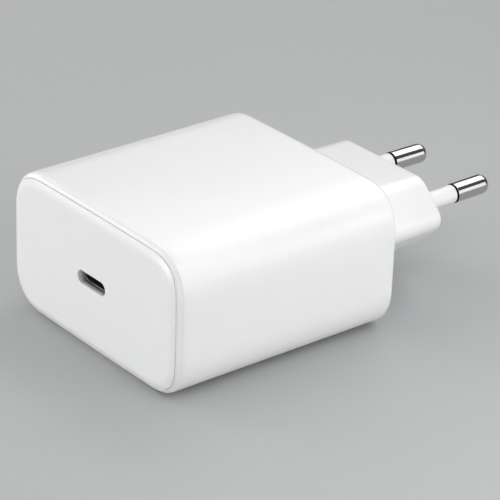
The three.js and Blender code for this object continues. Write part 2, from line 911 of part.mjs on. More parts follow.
add("usb_c_shell", usbShell(), darkSteel);
add("usb_c_tongue", usbTongue(), blackResin);
add(
  "output_board",
  outputBoard(),
  boardGreen,
);
add(
  "protocol_chip",
  flatPackage(
    [-9.8, OUTPUT_BOARD_BACK, 12],
    [-5.8, OUTPUT_BOARD_BACK + 0.8, 16],
    1,
    0,
  ),
  blackResin,
);
add(
  "output_switch",
  flatPackage(
    [5.4, OUTPUT_BOARD_BACK, 12.2],
    [8.8, OUTPUT_BOARD_BACK + 0.9, 15.6],
    1,
    0,
  ),
  blackResin,
);

add("main_board", mainBoard(), boardGreen);
add(
  "fuse",
  onLeads(
    softBlock([7.0, -10.1, BOARD_TOP + 0.6], [10.1, -2.1, 15.6], 0.4),
    [
      [8.5, -8.6],
      [8.5, -3.6],
    ],
    BOARD_TOP + 1.4,
  ),
  fuseBrown,
);
add(
  "inrush_thermistor",
  onLeads(
    disc(3.9, -11.5, -7.9, [-5.5, BOARD_TOP + 5.2]),
    [
      [-9.7, -7.5],
      [-9.7, -3.5],
    ],
    BOARD_TOP + 2.6,
  ),
  thermistorGreen,
);
add(
  "x_capacitor",
  onLeads(
    softBlock([-19.6, -9.6, BOARD_TOP + 0.5], [-12.4, 1.9, 18.8], 0.5),
    [
      [-16, -8.1],
      [-16, 0.4],
    ],
    BOARD_TOP + 1.5,
  ),
  filmYellow,
);
add("choke_core", chokeCore(), ferrite);
add("choke_winding_left", chokeWinding(-1), enamelCopper);
add("choke_winding_right", chokeWinding(1), enamelCopper);

const bulkPlaces = [
  [15.2, -6.0],
  [15.2, -16.0],
  [5.4, -16.0],
];
bulkPlaces.forEach(([x, y], i) => {
  add(
    `bulk_capacitor_${i + 1}`,
    canCapacitor(4.8, 15.8).translate(x, y, BOARD_TOP),
    capacitorSleeve,
  );
});

add("transformer_core_lower", transformerCore(true), ferrite);
add("transformer_core_upper", transformerCore(false), ferrite);
add("transformer_bobbin", transformerBobbin(), bobbinResin);
add(
  "transformer_winding",
  ring(TRAFO_POST + 0.95, 7.3, windowLow + 0.75, windowHigh - 0.75),
  enamelCopper,
);
add(
  "transformer_tape",
  ring(7.36, 7.7, windowLow + 0.8, windowHigh - 0.8),
  tapeAmber,
);

add(
  "bridge_rectifier",
  chip([7.6, 6.2, 1.1], [12, -3], BOARD_BOTTOM, false, 2),
  blackResin,
);
add(
  "primary_switch",
  flatPackage([-4, -13, BOARD_BOTTOM - 1.0], [4, -5, BOARD_BOTTOM], 2, 1),
  blackResin,
);
add(
  "primary_controller",
  chip([5, 3.9, 1.1], [11, -14], BOARD_BOTTOM, false, 4),
  blackResin,
);
add(
  "rectifier_switch",
  flatPackage([-12, -32, BOARD_BOTTOM - 0.9], [-6, -27, BOARD_BOTTOM], 2, 1),
  blackResin,
);
add(
  "optocoupler",
  chip([5.4, 2.2, 2.2], [6.5, -22.9], BOARD_TOP, true, 2),
  blackResin,
);
add(
  "y_capacitor",
  onLeads(
    disc(3.8, 16.4, 19.8, [-26.4, BOARD_TOP + 5.0]),
    [
      [18.1, -28.9],
      [18.1, -23.9],
    ],
    BOARD_TOP + 3.0,
  ),
  discBlue,
);
[4.6, 12].forEach((x, i) => {
  add(
    `output_capacitor_${i + 1}`,
    canCapacitor(3.15, 10).translate(x, -28.3, BOARD_TOP),
    aluminium,
  );
});

// heat spreaders, pads and the film that wraps the electronics
add(
  "heat_spreader_lower",
  heatSpreader(16.6, -32.6, 1.5, 3.55, 1.2),
  aluminium,
);
add(
  "thermal_pad_lower",
  softBlock([-12.6, -32, 4.17], [12.6, 0, BOARD_BOTTOM - 1.22], 0.18),
  siliconeGrey,
);
add(
  "heat_spreader_upper",
  heatSpreader(16.6, -32, 1.5, 24.95, -1.0),
  aluminium,
);
add(
  "thermal_pad_upper",
  softBlock([-16, -28, 23.72], [-2, -12.5, 24.93], 0.25),
  siliconeGrey,
);
add(
  "insulating_film",
  cut(
    prism(bodyOutline(WALL + 1.0), -32.8, 2.6),
    prism(bodyOutline(WALL + 1.3), -34, 4),
  ),
  filmClear,
);

export default group;
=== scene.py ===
import json
import math

import bmesh
import bpy
from mathutils import Matrix, Vector


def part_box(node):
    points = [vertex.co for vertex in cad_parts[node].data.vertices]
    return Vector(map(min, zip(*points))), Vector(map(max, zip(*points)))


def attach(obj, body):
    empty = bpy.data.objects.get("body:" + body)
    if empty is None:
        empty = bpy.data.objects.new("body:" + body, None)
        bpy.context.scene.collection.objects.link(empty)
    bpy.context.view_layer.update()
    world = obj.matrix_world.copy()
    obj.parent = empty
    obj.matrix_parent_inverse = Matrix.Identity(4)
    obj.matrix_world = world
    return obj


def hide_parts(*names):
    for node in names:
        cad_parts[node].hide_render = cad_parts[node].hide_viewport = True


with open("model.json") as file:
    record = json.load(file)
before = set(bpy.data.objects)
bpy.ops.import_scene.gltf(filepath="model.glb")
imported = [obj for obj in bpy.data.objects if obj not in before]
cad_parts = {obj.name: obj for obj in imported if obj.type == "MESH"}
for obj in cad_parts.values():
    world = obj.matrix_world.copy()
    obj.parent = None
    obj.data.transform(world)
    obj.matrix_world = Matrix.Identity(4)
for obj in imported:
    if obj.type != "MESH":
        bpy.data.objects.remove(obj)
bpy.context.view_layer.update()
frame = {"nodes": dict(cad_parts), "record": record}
nodes = frame["nodes"]

# Lengths are in millimetres, times MM where they reach Blender. +Y runs from the port's
# face to the pins' tips, and the body's axis is the line x = 0, z = AXIS_Z.
MM = 0.001

# ---------- places taken from the CAD ----------


def box_mm(node):
    """The low and high corners of a node's box."""
    low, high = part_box(node)
    return low / MM, high / MM


body_low, body_high = box_mm("main_housing")
cover_low, _ = box_mm("front_cover")
_, boss_high = box_mm("plug_boss")
FRONT_Y = cover_low.y
REAR_Y = body_high.y
BOSS_Y = boss_high.y
AXIS_Z = (body_low.z + body_high.z) / 2
PLUG_Z = AXIS_Z - 0.15  # the plug sits a little below the body's axis
WIDTH = body_high.x - body_low.x
HEIGHT = body_high.z - body_low.z

# ---------- sizes of the visible shapes ----------

# the body's cross-section: superelliptic corners between flats that bow out a little
CORNER_RADIUS, CORNER_POWER = 8.95, 2.45
CROWN_X, CROWN_Z = 0.06, 0.245
DRAFT = 0.09  # how much narrower the mould draft makes each side at the front
WALL, REAR_WALL = 1.9, 2.0  # thicknesses

# the seam between cover and housing, and the step beside it, on the front round-over
FRONT_ROUND = 2.7
SEAM_SIDE, SEAM_TOP = 1.12, 0.86  # inset of the seam at the sides, and at top and bottom
LIP_TURN = math.radians(5)  # how much of the round-over each lip of the seam takes
RIM_PROUD = 0.02  # how far the rim stands outside the round-over's arc
STEP_TURN = math.radians(27)  # where on the round-over the step between rim and flank lies
STEP_HEIGHT = 0.15

REAR_ROUND = 1.7
HOLE_GAP, RELIEF_GAP = 0.33, 0.55  # around the plug: the hole, and the dip in front of it

COVER_GAP = 0.025  # between the seam's place and the cover's edge
COVER_THICK = 2.0
PORT_W, PORT_H, PORT_DEPTH, PORT_ROUND = 8.5, 2.66, 1.6, 0.13
POCKET_GROWTH = 0.45  # how much wider on each side the pocket behind the port is
PORT_LAND = 0.2  # flat ring around the port's rounded edge
SKIRT_OUTER, SKIRT_INNER, SKIRT_LENGTH = 2.1, 3.3, 3.2  # insets and length of its inner wall

# the plug: six-sided, widest in the middle
BOSS_HALF_HEIGHT, BOSS_FLAT_HALF_WIDTH, BOSS_SLOPE = 6.95, 11.3, math.radians(43.9)
BOSS_TOP_RADIUS, BOSS_SIDE_RADIUS = 4.4, 2.8
BOSS_DRAFT = 0.23
FLANGE = 2.2  # how far the plug's flange inside the body reaches out

PIN_LENGTH, BARE_LENGTH = 18.645, 8.7
PIN_RADIUS = 2.0
CORE_RADIUS, CORE_REACH = 1.2, 8  # the thinner stem under the sleeve, and into the plug
PITCH_ROOT, PITCH_TIP = 18.6, 18.1  # the pins lean towards each other
BARE_FROM = PIN_LENGTH - BARE_LENGTH

# width and height of the receptacle's shell
SHELL_OUTER, SHELL_INNER = (8.94, 3.26), (8.34, 2.56)

# ---------- camera ----------

VIEW_AZIMUTH, VIEW_ELEVATION, VIEW_ROLL = 50.573, 26.302, 1.882
VIEW_DISTANCE = 471.31
VIEW_TARGET = Vector((13.668, (FRONT_Y + REAR_Y) / 2 + 0.15, AXIS_Z + 4.868))
FOCAL_LENGTH, SENSOR_WIDTH = 186.44, 36
CLIP = 0.01, 20  # metres


def direction(azimuth, elevation):
    """The unit vector towards azimuth and elevation in degrees: 0,0 is in front of the port."""
    a, e = math.radians(azimuth), math.radians(elevation)
    return Vector((math.sin(a) * math.cos(e), -math.cos(a) * math.cos(e), math.sin(e)))


def make_camera():
    """The camera, turned by the roll about its line of sight."""
    azimuth, roll = math.radians(VIEW_AZIMUTH), math.radians(VIEW_ROLL)
    away = direction(VIEW_AZIMUTH, VIEW_ELEVATION)
    level = Vector((math.cos(azimuth), math.sin(azimuth), 0))
    upright = away.cross(level)
    right = math.cos(roll) * level + math.sin(roll) * upright
    up = math.cos(roll) * upright - math.sin(roll) * level
    data = bpy.data.cameras.new("camera")
    data.lens = FOCAL_LENGTH
    data.sensor_width = SENSOR_WIDTH
    data.clip_start, data.clip_end = CLIP
    cam = bpy.data.objects.new("camera", data)
    bpy.context.scene.collection.objects.link(cam)
    turn = Matrix((right, up, away)).transposed().to_4x4()
    cam.matrix_world = Matrix.Translation((VIEW_TARGET + VIEW_DISTANCE * away) * MM) @ turn
    bpy.context.scene.camera = cam


make_camera()

# ---------- outlines: closed loops of (x, z), anticlockwise, about the axis ----------


def spread(a, b, count):
    """count values from a to b, b left out."""
    return [a + (b - a) * i / count for i in range(count)]


def body_outline(inset=0.0):
    """The body's cross-section."""
    corner_steps, wide_steps, tall_steps = 26, 26, 12
    w, h = WIDTH / 2 - inset, HEIGHT / 2 - inset
    r = max(CORNER_RADIUS - inset, 0.5)
    flat_w, flat_h = w - CROWN_X - r, h - CROWN_Z - r
    bend = 2 / CORNER_POWER
    loop = []
    for quarter in range(4):
        sx = (1, -1, -1, 1)[quarter]
        sz = (1, 1, -1, -1)[quarter]
        for t in spread(0, math.pi / 2, corner_steps):
            t += quarter * math.pi / 2
            c, s = math.cos(t), math.sin(t)
            x = sx * flat_w + r * math.copysign(abs(c) ** bend, c)
            z = sz * flat_h + r * math.copysign(abs(s) ** bend, s)
            loop.append((x, z))
        if quarter in (0, 2):
            edge = sz * (h - CROWN_Z)
            loop += [(sx * u * flat_w, edge) for u in spread(1, -1, wide_steps)]
        else:
            edge = sx * (w - CROWN_X)
            loop += [(edge, sz * u * flat_h) for u in spread(1, -1, tall_steps)]
    return [
        (
            x + math.copysign(CROWN_X, x) * (1 - (z / h) ** 2) * abs(x) / w,
            z + math.copysign(CROWN_Z, z) * (1 - (x / w) ** 2) * abs(z) / h,
        )
        for x, z in loop
    ]


def corner_arc(before, corner, after, radius, steps):
    """An arc of the given radius that rounds one corner of a polygon."""
    corner = Vector(corner)
    back = (Vector(before) - corner).normalized()
    on = (Vector(after) - corner).normalized()
    half = math.acos(back.dot(on)) / 2
    inward = (back + on).normalized()
    centre = corner + inward * radius / math.sin(half)
    middle = math.atan2(-inward.y, -inward.x)
    sweep = math.pi - 2 * half
    return [
        (centre.x + radius * math.cos(t), centre.y + radius * math.sin(t))
        for t in (middle + sweep * (k / steps - 0.5) for k in range(steps + 1))
    ]


def boss_outline(inset=0.0, steps=14, flat=10):
    """The plug's cross-section, with steps in each corner and flat on each side."""
    half_width = BOSS_FLAT_HALF_WIDTH + BOSS_HALF_HEIGHT / math.tan(BOSS_SLOPE)
    side = half_width - inset / math.sin(BOSS_SLOPE)
    h = BOSS_HALF_HEIGHT - inset
    flat_x = side - h / math.tan(BOSS_SLOPE)
    smallest = 0.3
    top_r = max(BOSS_TOP_RADIUS - inset, smallest)
    side_r = max(BOSS_SIDE_RADIUS - inset, smallest)
    corners = [(side, 0), (flat_x, h), (-flat_x, h), (-side, 0), (-flat_x, -h), (flat_x, -h)]
    radii = [side_r, top_r, top_r] * 2
    bends = [
        corner_arc(corners[i - 1], corners[i], corners[(i + 1) % 6], radii[i], steps)
        for i in range(6)
    ]
    loop = []
    for i, bend in enumerate(bends):
        a, b = Vector(bend[-1]), Vector(bends[(i + 1) % 6][0])
        loop += bend + [tuple(a.lerp(b, k / flat)) for k in range(1, flat)]
    return loop


def stadium(width, height, count=400):
    """A slot with round ends."""
    r = height / 2
    run = width - height
    end = math.pi * r
    length = 2 * run + 2 * end
    loop = []
    for k in range(count):
        s = (k / count * length + end / 2 * 3) % length
        if s < end:
            t = math.pi / 2 + s / r
            loop.append((-run / 2 + r * math.cos(t), r * math.sin(t)))
        elif s < end + run:
            loop.append((-run / 2 + s - end, -r))
        elif s < 2 * end + run:
            t = -math.pi / 2 + (s - end - run) / r
            loop.append((run / 2 + r * math.cos(t), r * math.sin(t)))
        else:
            loop.append((run / 2 - (s - 2 * end - run), r))
    return loop


def matched(loop, dense):
    """The points of a dense loop that lie at the same angles as those of loop."""
    polar = sorted((math.atan2(z, x), math.hypot(x, z)) for x, z in dense)
    before = (polar[-1][0] - 2 * math.pi, polar[-1][1])
    after = (polar[0][0] + 2 * math.pi, polar[0][1])
    polar = [before] + polar + [after]
    out = []
    for x, z in loop:
        angle = math.atan2(z, x)
        k = next(i for i in range(1, len(polar)) if polar[i][0] >= angle)
        (a0, r0), (a1, r1) = polar[k - 1], polar[k]
        r = r0 + (r1 - r0) * ((angle - a0) / (a1 - a0) if a1 > a0 else 0)
        out.append((r * math.cos(angle), r * math.sin(angle)))
    return out


def between(a, b, t):
    """A loop part of the way from loop a to loop b."""
    return [(p[0] + (q[0] - p[0]) * t, p[1] + (q[1] - p[1]) * t) for p, q in zip(a, b)]


def arc(depth_a, depth_b, start, end, steps):
    """Offsets of a rounded edge: (inset, back) pairs for angles from start to end degrees."""
    return [
        (depth_a * (1 - math.cos(t)), depth_b * (1 - math.sin(t)))
        for t in (
            math.radians(start + (end - start) * i / steps) for i in range(steps + 1)
        )
    ]


# ---------- pieces and meshes ----------


def new_piece(name, mesh, *replaced):
    """A visible piece that rides on the charger and stands in for the replaced CAD nodes."""
    piece = bpy.data.objects.new(name, mesh)
    bpy.context.scene.collection.objects.link(piece)
    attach(piece, "root")
    if replaced:
        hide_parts(*replaced)
    return piece


def smooth_mesh(name, verts, faces):
    """A smooth-shaded mesh with its normals turned outwards."""
    mesh = bpy.data.meshes.new(name)
    mesh.from_pydata(verts, [], faces)
    work = bmesh.new()
    work.from_mesh(mesh)
    bmesh.ops.recalc_face_normals(work, faces=work.faces)
    work.to_mesh(mesh)
    work.free()
    mesh.shade_smooth()
    return mesh


def skinned(name, rings, closed=True, z=AXIS_Z):
    """A mesh through rings of equal length, each (loop, y). Closed joins the last to the first.

    A ring's y is one number, or a list with one for each point of the loop.
    """
    count = len(rings[0][0])
    verts = []
    for loop, y in rings:
        ys = y if isinstance(y, list) else [y] * count
        verts += [(x * MM, v * MM, (w + z) * MM) for (x, w), v in zip(loop, ys)]
    faces = []
    last = len(rings) if closed else len(rings) - 1
    for r in range(last):
        a, b = r * count, (r + 1) % len(rings) * count
        for j in range(count):
            k = (j + 1) % count
            faces.append((a + j, b + j, b + k, a + k))
    if not closed:
        faces.append(tuple(reversed(range(count))))
        faces.append(tuple(range((len(rings) - 1) * count, len(rings) * count)))
    return smooth_mesh(name, verts, faces)


def turned(name, profile, place, segments=72):
    """A body turned about +Y from (radius, y) points that run from axis to axis or loop round."""
    open_ended = profile[0][0] == 0
    rings = [p for p in profile if p[0] > 0]
    verts, faces = [], []
    for r, y in rings:
        for j in range(segments):
            t = 2 * math.pi * j / segments
            verts.append(place @ (Vector((r * math.cos(t), y, r * math.sin(t))) * MM))
    last = len(rings) - 1 if open_ended else len(rings)
    for i in range(last):
        a, b = i * segments, (i + 1) % len(rings) * segments
        for j in range(segments):
            k = (j + 1) % segments
            faces.append((a + j, b + j, b + k, a + k))
    if open_ended:
        for ring_index, y in ((0, profile[0][1]), (len(rings) - 1, profile[-1][1])):
            hub = len(verts)
            verts.append(place @ (Vector((0, y, 0)) * MM))
            a = ring_index * segments
            for j in range(segments):
                faces.append((a + j, a + (j + 1) % segments, hub))
    return smooth_mesh(name, [tuple(v) for v in verts], faces)


# ---------- body ----------


def draft(y):
    """Mould draft: how much narrower each side of the body is at y than at the rear."""
    return DRAFT * (REAR_Y - y) / (REAR_Y - FRONT_Y)


def body_ring(inset, y):
    """A flat ring of the body's outline."""
    return body_outline(inset + draft(y)), y


def bent_ring(insets, ys):
    """A ring of the body's outline with its own inset and y at each point."""
    depth = 4.0  # the points move along straight lines between the outlines at 0 and this inset
    near, far = body_outline(0.0), body_outline(depth)
    loop = []
    for (x0, z0), (x1, z1), inset, y in zip(near, far, insets, ys):
        k = (inset + draft(y)) / depth
        loop.append((x0 + (x1 - x0) * k, z0 + (z1 - z0) * k))
    return loop, ys


def on_round_over(turns, proud=0.0):
    """The ring where the front round-over has turned by the given angles from the side."""
    insets = [FRONT_ROUND * (1 - math.cos(t)) - proud for t in turns]
    return bent_ring(insets, [FRONT_Y + FRONT_ROUND * (1 - math.sin(t)) for t in turns])


def seam_line():
    """For each point of the body's outline, the seam's inset and its turn on the round-over."""
    near, far = body_outline(0.0), body_outline(1.0)
    insets = []
    for (_, z0), (_, z1) in zip(near, far):
        share = min(2 * (z0 - z1) ** 2, 1)  # 0 at the sides, 1 from mid-corner to the flats
        insets.append(SEAM_SIDE + (SEAM_TOP - SEAM_SIDE) * share)
    return insets, [math.acos(1 - i / FRONT_ROUND) for i in insets]


SEAM_INSETS, SEAM_TURNS = seam_line()


def housing_front():
    """Rings from the seam's wall over the rim and its step to the straight flank."""
    seam_slit = 0.03  # from the seam's place out to the housing's wall
    lip_width, lip_depth = 0.16, 0.12
    lip_ys = on_round_over(SEAM_TURNS)[1]
    rings = []
    for a, b in arc(lip_width, lip_depth, 0, 80, 7):
        insets = [i - seam_slit - a for i in SEAM_INSETS]
        rings.append(bent_ring(insets, [y + b for y in lip_ys]))
    # the rim follows the round-over as far as a small step that faces forward
    for k in spread(0, 1, 22):
        turns = [t - LIP_TURN + (STEP_TURN - t + LIP_TURN) * k for t in SEAM_TURNS]
        rings.append(on_round_over(turns, RIM_PROUD))
    foot = FRONT_ROUND * (1 - math.cos(STEP_TURN)) - RIM_PROUD
    top = foot - STEP_HEIGHT
    step_y = FRONT_Y + FRONT_ROUND * (1 - math.sin(STEP_TURN))
    fillet_out, fillet_back = 0.03, 0.006
    step_lean, step_edge = 0.01, 0.04
    rings.append(body_ring(foot, step_y))
    rings.append(body_ring(foot - fillet_out, step_y + fillet_back))
    for a, b in arc(step_edge, step_edge, 80, 10, 4):
        rings.append(body_ring(top + a, step_y + step_lean + b))
    # from the step's edge the side bends gently into the straight flank
    bend_from = step_y + step_lean + step_edge + 0.01
    run = FRONT_Y + FRONT_ROUND - bend_from
    for t in (0.04, 0.1, 0.2, 0.35, 0.5, 0.7, 0.85, 1.0):
        rings.append(body_ring(top * (1 - t) ** 2, bend_from + run * t))
    return rings


def housing_rear():
    """Rings from the rear round-over to the hole around the plug, and back inside."""
    rings = [body_ring(a, REAR_Y - b) for a, b in arc(REAR_ROUND, REAR_ROUND, 0, 90, 12)]
    land = 0.25  # the first of the flat face
    rings.append(body_ring(REAR_ROUND + land, REAR_Y))
    edge = body_outline(REAR_ROUND + 2 * land)

    def around_boss(gap):
        loop = [(x, z + PLUG_Z - AXIS_Z) for x, z in boss_outline(-gap, 30, 40)]
        return matched(edge, loop)

    hole, relief = around_boss(HOLE_GAP), around_boss(RELIEF_GAP)
    rings += [(between(edge, relief, t), REAR_Y) for t in (0.0, 0.4, 0.8, 1.0)]
    rim_gap, rim_depth, hole_depth = HOLE_GAP + 0.05, 0.03, 0.10
    rings.append((around_boss(rim_gap), REAR_Y - rim_depth))
    rings.append((hole, REAR_Y - hole_depth))
    wall_y = REAR_Y - REAR_WALL
    inner = body_outline(WALL)
    rings += [(between(hole, inner, t), wall_y) for t in (0.0, 0.5, 1.0)]
    return rings


def housing_mesh():
    ledge_y = FRONT_Y + COVER_THICK + 0.1  # just behind the cover
    near_front, flank_from, flank_to = FRONT_Y + 3.3, FRONT_Y + 4.5, REAR_Y - 3.0
    rings = housing_front()
    flank = spread(near_front, flank_from, 2) + spread(flank_from, flank_to, 7)
    flank.append(REAR_Y - 2.0)
    rings += [body_ring(0.0, y) for y in flank]
    rings += housing_rear()
    rings.append(body_ring(WALL, ledge_y))
    rings.append(bent_ring(SEAM_INSETS, [ledge_y] * len(SEAM_INSETS)))
    return skinned("housing_shell", rings)


def cover_mesh():
    flat = body_outline(FRONT_ROUND + draft(FRONT_Y))
    back = FRONT_Y + COVER_THICK

    def port_at(growth):
        return matched(flat, stadium(PORT_W + 2 * growth, PORT_H + 2 * growth))

    # from the pocket out through the port to the flat face
    pocket, port, land = port_at(POCKET_GROWTH), port_at(0), port_at(PORT_LAND)
    throat = 0.5  # where the port's wall is already straight
    rings = [
        (pocket, back),
        (pocket, FRONT_Y + PORT_DEPTH),
        (port, FRONT_Y + PORT_DEPTH),
        (port, FRONT_Y + throat),
    ]
    for a, b in arc(PORT_ROUND, PORT_ROUND, 0, 90, 6):
        rings.append((port_at(a), FRONT_Y + b))
    rings += [(between(land, flat, t), FRONT_Y) for t in (0.0, 0.08, 0.3, 0.6, 0.9)]
    # down the round-over to the seam
    quarter = math.pi / 2
    for k in spread(0, 1, 27):
        rings.append(on_round_over([quarter + (t + LIP_TURN - quarter) * k for t in SEAM_TURNS]))
    edge_round, edge_depth = 0.05, 0.35
    edge = [i + COVER_GAP for i in SEAM_INSETS]
    edge_ys = on_round_over([t + LIP_TURN for t in SEAM_TURNS])[1]
    for a, b in arc(edge_round, edge_round, 45, 0, 4):
        rings.append(bent_ring([i + a for i in edge], [y + b for y in edge_ys]))
    rings.append(bent_ring(edge, [y + edge_depth for y in edge_ys]))
    rings.append(bent_ring(edge, [back] * len(edge)))
    # the skirt behind the cover
    outer, inner = body_outline(SKIRT_OUTER), body_outline(SKIRT_INNER)
    skirt_y = back + SKIRT_LENGTH
    rings += [(outer, back), (outer, skirt_y), (inner, skirt_y), (inner, back)]
    return skinned("cover_plate", rings)


# ---------- plug and pins ----------


def boss_mesh():
    flange_y = REAR_Y - 2.1
    tip_inset, tip_depth = 1.0, 0.8
    rings = [
        (boss_outline(-FLANGE), REAR_Y - 3.5),
        (boss_outline(-FLANGE), flange_y),
        (boss_outline(-BOSS_DRAFT), flange_y),
    ]
    for y in (REAR_Y - 1.0, REAR_Y, REAR_Y + 1.5, REAR_Y + 9, BOSS_Y - 3, BOSS_Y - 2):
        rings.append((boss_outline(-BOSS_DRAFT * (BOSS_Y - y) / (BOSS_Y - REAR_Y)), y))
    for a, b in arc(tip_inset, tip_depth, 0, 90, 12):
        rings.append((boss_outline(a), BOSS_Y - b))
    rings.append((boss_outline(tip_inset + 0.25), BOSS_Y))
    rings.append((boss_outline(tip_inset + 0.6), BOSS_Y))
    return skinned("plug_body", rings, closed=False, z=PLUG_Z)


def pin_axis(side):
    """Places things made about +Y, with y = 0 at the boss face, on one pin's axis."""
    sign = -1 if side == "left" else 1
    lean = math.atan((PITCH_ROOT - PITCH_TIP) / 2 / PIN_LENGTH)
    place = Matrix.Translation(Vector((sign * PITCH_ROOT / 2, BOSS_Y, PLUG_Z)) * MM)
    return place @ Matrix.Rotation(sign * lean, 4, "Z")


def pin_profile():
    shoulder = [
        (PIN_RADIUS - a, BARE_FROM + b) for a, b in arc(0.12, 0.12, 80, 0, 5)
    ]
    straight = [BARE_FROM + 0.3, BARE_FROM + 0.7, PIN_LENGTH - 3, PIN_LENGTH - 1.8]
    tip = [(PIN_RADIUS - a, PIN_LENGTH - b) for a, b in arc(1.4, 1.5, 0, 90, 12)]
    return [
        (0, -CORE_REACH),
        (CORE_RADIUS, -CORE_REACH),
        (CORE_RADIUS, BARE_FROM + 0.01),
        *shoulder,
        *((PIN_RADIUS, y) for y in straight),
        *tip,
        (0.45, PIN_LENGTH),
        (0, PIN_LENGTH),
    ]


def sleeve_profile():
    """A waisted tube: wide at its root, narrow in the middle, with a rounded outer end."""
    to = BARE_FROM - 0.3  # the gap before the bare metal, dark partly from real shade in it and partly from shade painted into the nickel
    root = [(2.25, -0.6), (2.18, 0.0), (2.06, 0.12), (1.98, 0.35), (1.93, 0.8)]
    waist = [(1.88, 1.6), (1.83, 2.6), (1.79, 4.0), (1.77, 5.6), (1.77, 7.2)]
    end = [(1.80, 8.6), (1.84, to - 0.5), (1.86, to - 0.2), (1.84, to - 0.07)]
    lip = [(1.79, to), (1.66, to + 0.01), (1.3, to + 0.01), (1.25, to), (1.25, -0.6)]
    return root + waist + end + lip


housing = new_piece("housing_shell", housing_mesh(), "main_housing")
cover = new_piece("cover_plate", cover_mesh(), "front_cover")
boss = new_piece("plug_body", boss_mesh(), "plug_boss")
pins, sleeves = [], []
for side in ("left", "right"):
    at = pin_axis(side)
    name = f"pin_metal_{side}"
    pins.append(new_piece(name, turned(name, pin_profile(), at), f"pin_{side}"))
    name = f"pin_insulation_{side}"
    sleeves.append(new_piece(name, turned(name, sleeve_profile(), at), f"pin_sleeve_{side}"))

# ---------- USB-C receptacle ----------


def receptacle_mesh():
    """A flat tube with a rounded mouth."""
    low, high = box_mm("usb_c_shell")

    def slot(size, growth=0.0):
        return stadium(size[0] + growth, size[1] + growth, 96)

    rings = [
        (slot(SHELL_INNER), high.y),
        (slot(SHELL_INNER), low.y + 0.30),
        (slot(SHELL_INNER, 0.03), low.y + 0.12),
        (slot(SHELL_INNER, 0.11), low.y + 0.03),
        (slot(SHELL_INNER, 0.22), low.y),
        (slot(SHELL_OUTER, -0.16), low.y),
        (slot(SHELL_OUTER, -0.06), low.y + 0.04),
        (slot(SHELL_OUTER), low.y + 0.12),
        (slot(SHELL_OUTER), high.y),
    ]
    return skinned("receptacle_shell", rings)


def rounded_box(work, low, high, bevel, segments=2):
    """Adds a box with rounded edges to a bmesh."""
    made = bmesh.ops.create_cube(work, size=1.0)
    size = Vector(high) - Vector(low)
    middle = (Vector(high) + Vector(low)) / 2
    for v in made["verts"]:
        v.co = Vector((v.co.x * size.x, v.co.y * size.y, v.co.z * size.z)) + middle
    edges = list({e for v in made["verts"] for e in v.link_edges})
    bmesh.ops.bevel(
        work, geom=edges, offset=bevel, segments=segments, affect="EDGES", profile=0.5
    )


def mesh_from(work, name):
    """Turns a bmesh in millimetres into a mesh."""
    for v in work.verts:
        v.co *= MM
    mesh = bpy.data.meshes.new(name)
    work.to_mesh(mesh)
    work.free()
    return mesh


def tongue_mesh():
    """The tongue, its thicker root and the block that holds it."""
    low, high = box_mm("usb_c_tongue")
    # half width, front, back, half height and bevel of each
    blocks = (
        (3.33, low.y, low.y + 4.6, 0.35, 0.12),
        (3.33, low.y + 3.5, low.y + 5.0, 0.62, 0.08),
        (4.05, low.y + 4.4, high.y, 1.2, 0.3),
    )
    work = bmesh.new()
    for x, front, back, z, bevel in blocks:
        rounded_box(work, (-x, front, AXIS_Z - z), (x, back, AXIS_Z + z), bevel)
    mesh = mesh_from(work, "receptacle_tongue")
    mesh.shade_smooth()
    mesh.set_sharp_from_angle(angle=math.radians(40))
    return mesh


def contacts_mesh():
    """The gold pads on both faces of the tongue. The four power pads reach further out."""
    low, _ = box_mm("usb_c_tongue")
    pitch, half_width, length = 0.5, 0.125, 3.6
    sunk, proud = 0.30, 0.375
    work = bmesh.new()
    for i in range(12):
        x = (i - 5.5) * pitch
        reach = 0.35 if i in (0, 3, 8, 11) else 0.6
        for s in (-1, 1):
            bottom, top = sorted((AXIS_Z + s * sunk, AXIS_Z + s * proud))
            near = (x - half_width, low.y + reach, bottom)
            far = (x + half_width, low.y + length, top)
            rounded_box(work, near, far, 0.02, 1)
    return mesh_from(work, "receptacle_contacts")


receptacle = new_piece("receptacle_shell", receptacle_mesh(), "usb_c_shell")
tongue = new_piece("receptacle_tongue", tongue_mesh(), "usb_c_tongue")
contacts = new_piece("receptacle_contacts", contacts_mesh())

# ---------- materials ----------

MOTTLE_SCALE, SMUDGE_SCALE, GRAIN_SCALE = 90, 400, 2500  # of colour, roughness and bump
GRAIN_DEPTH = 0.00002


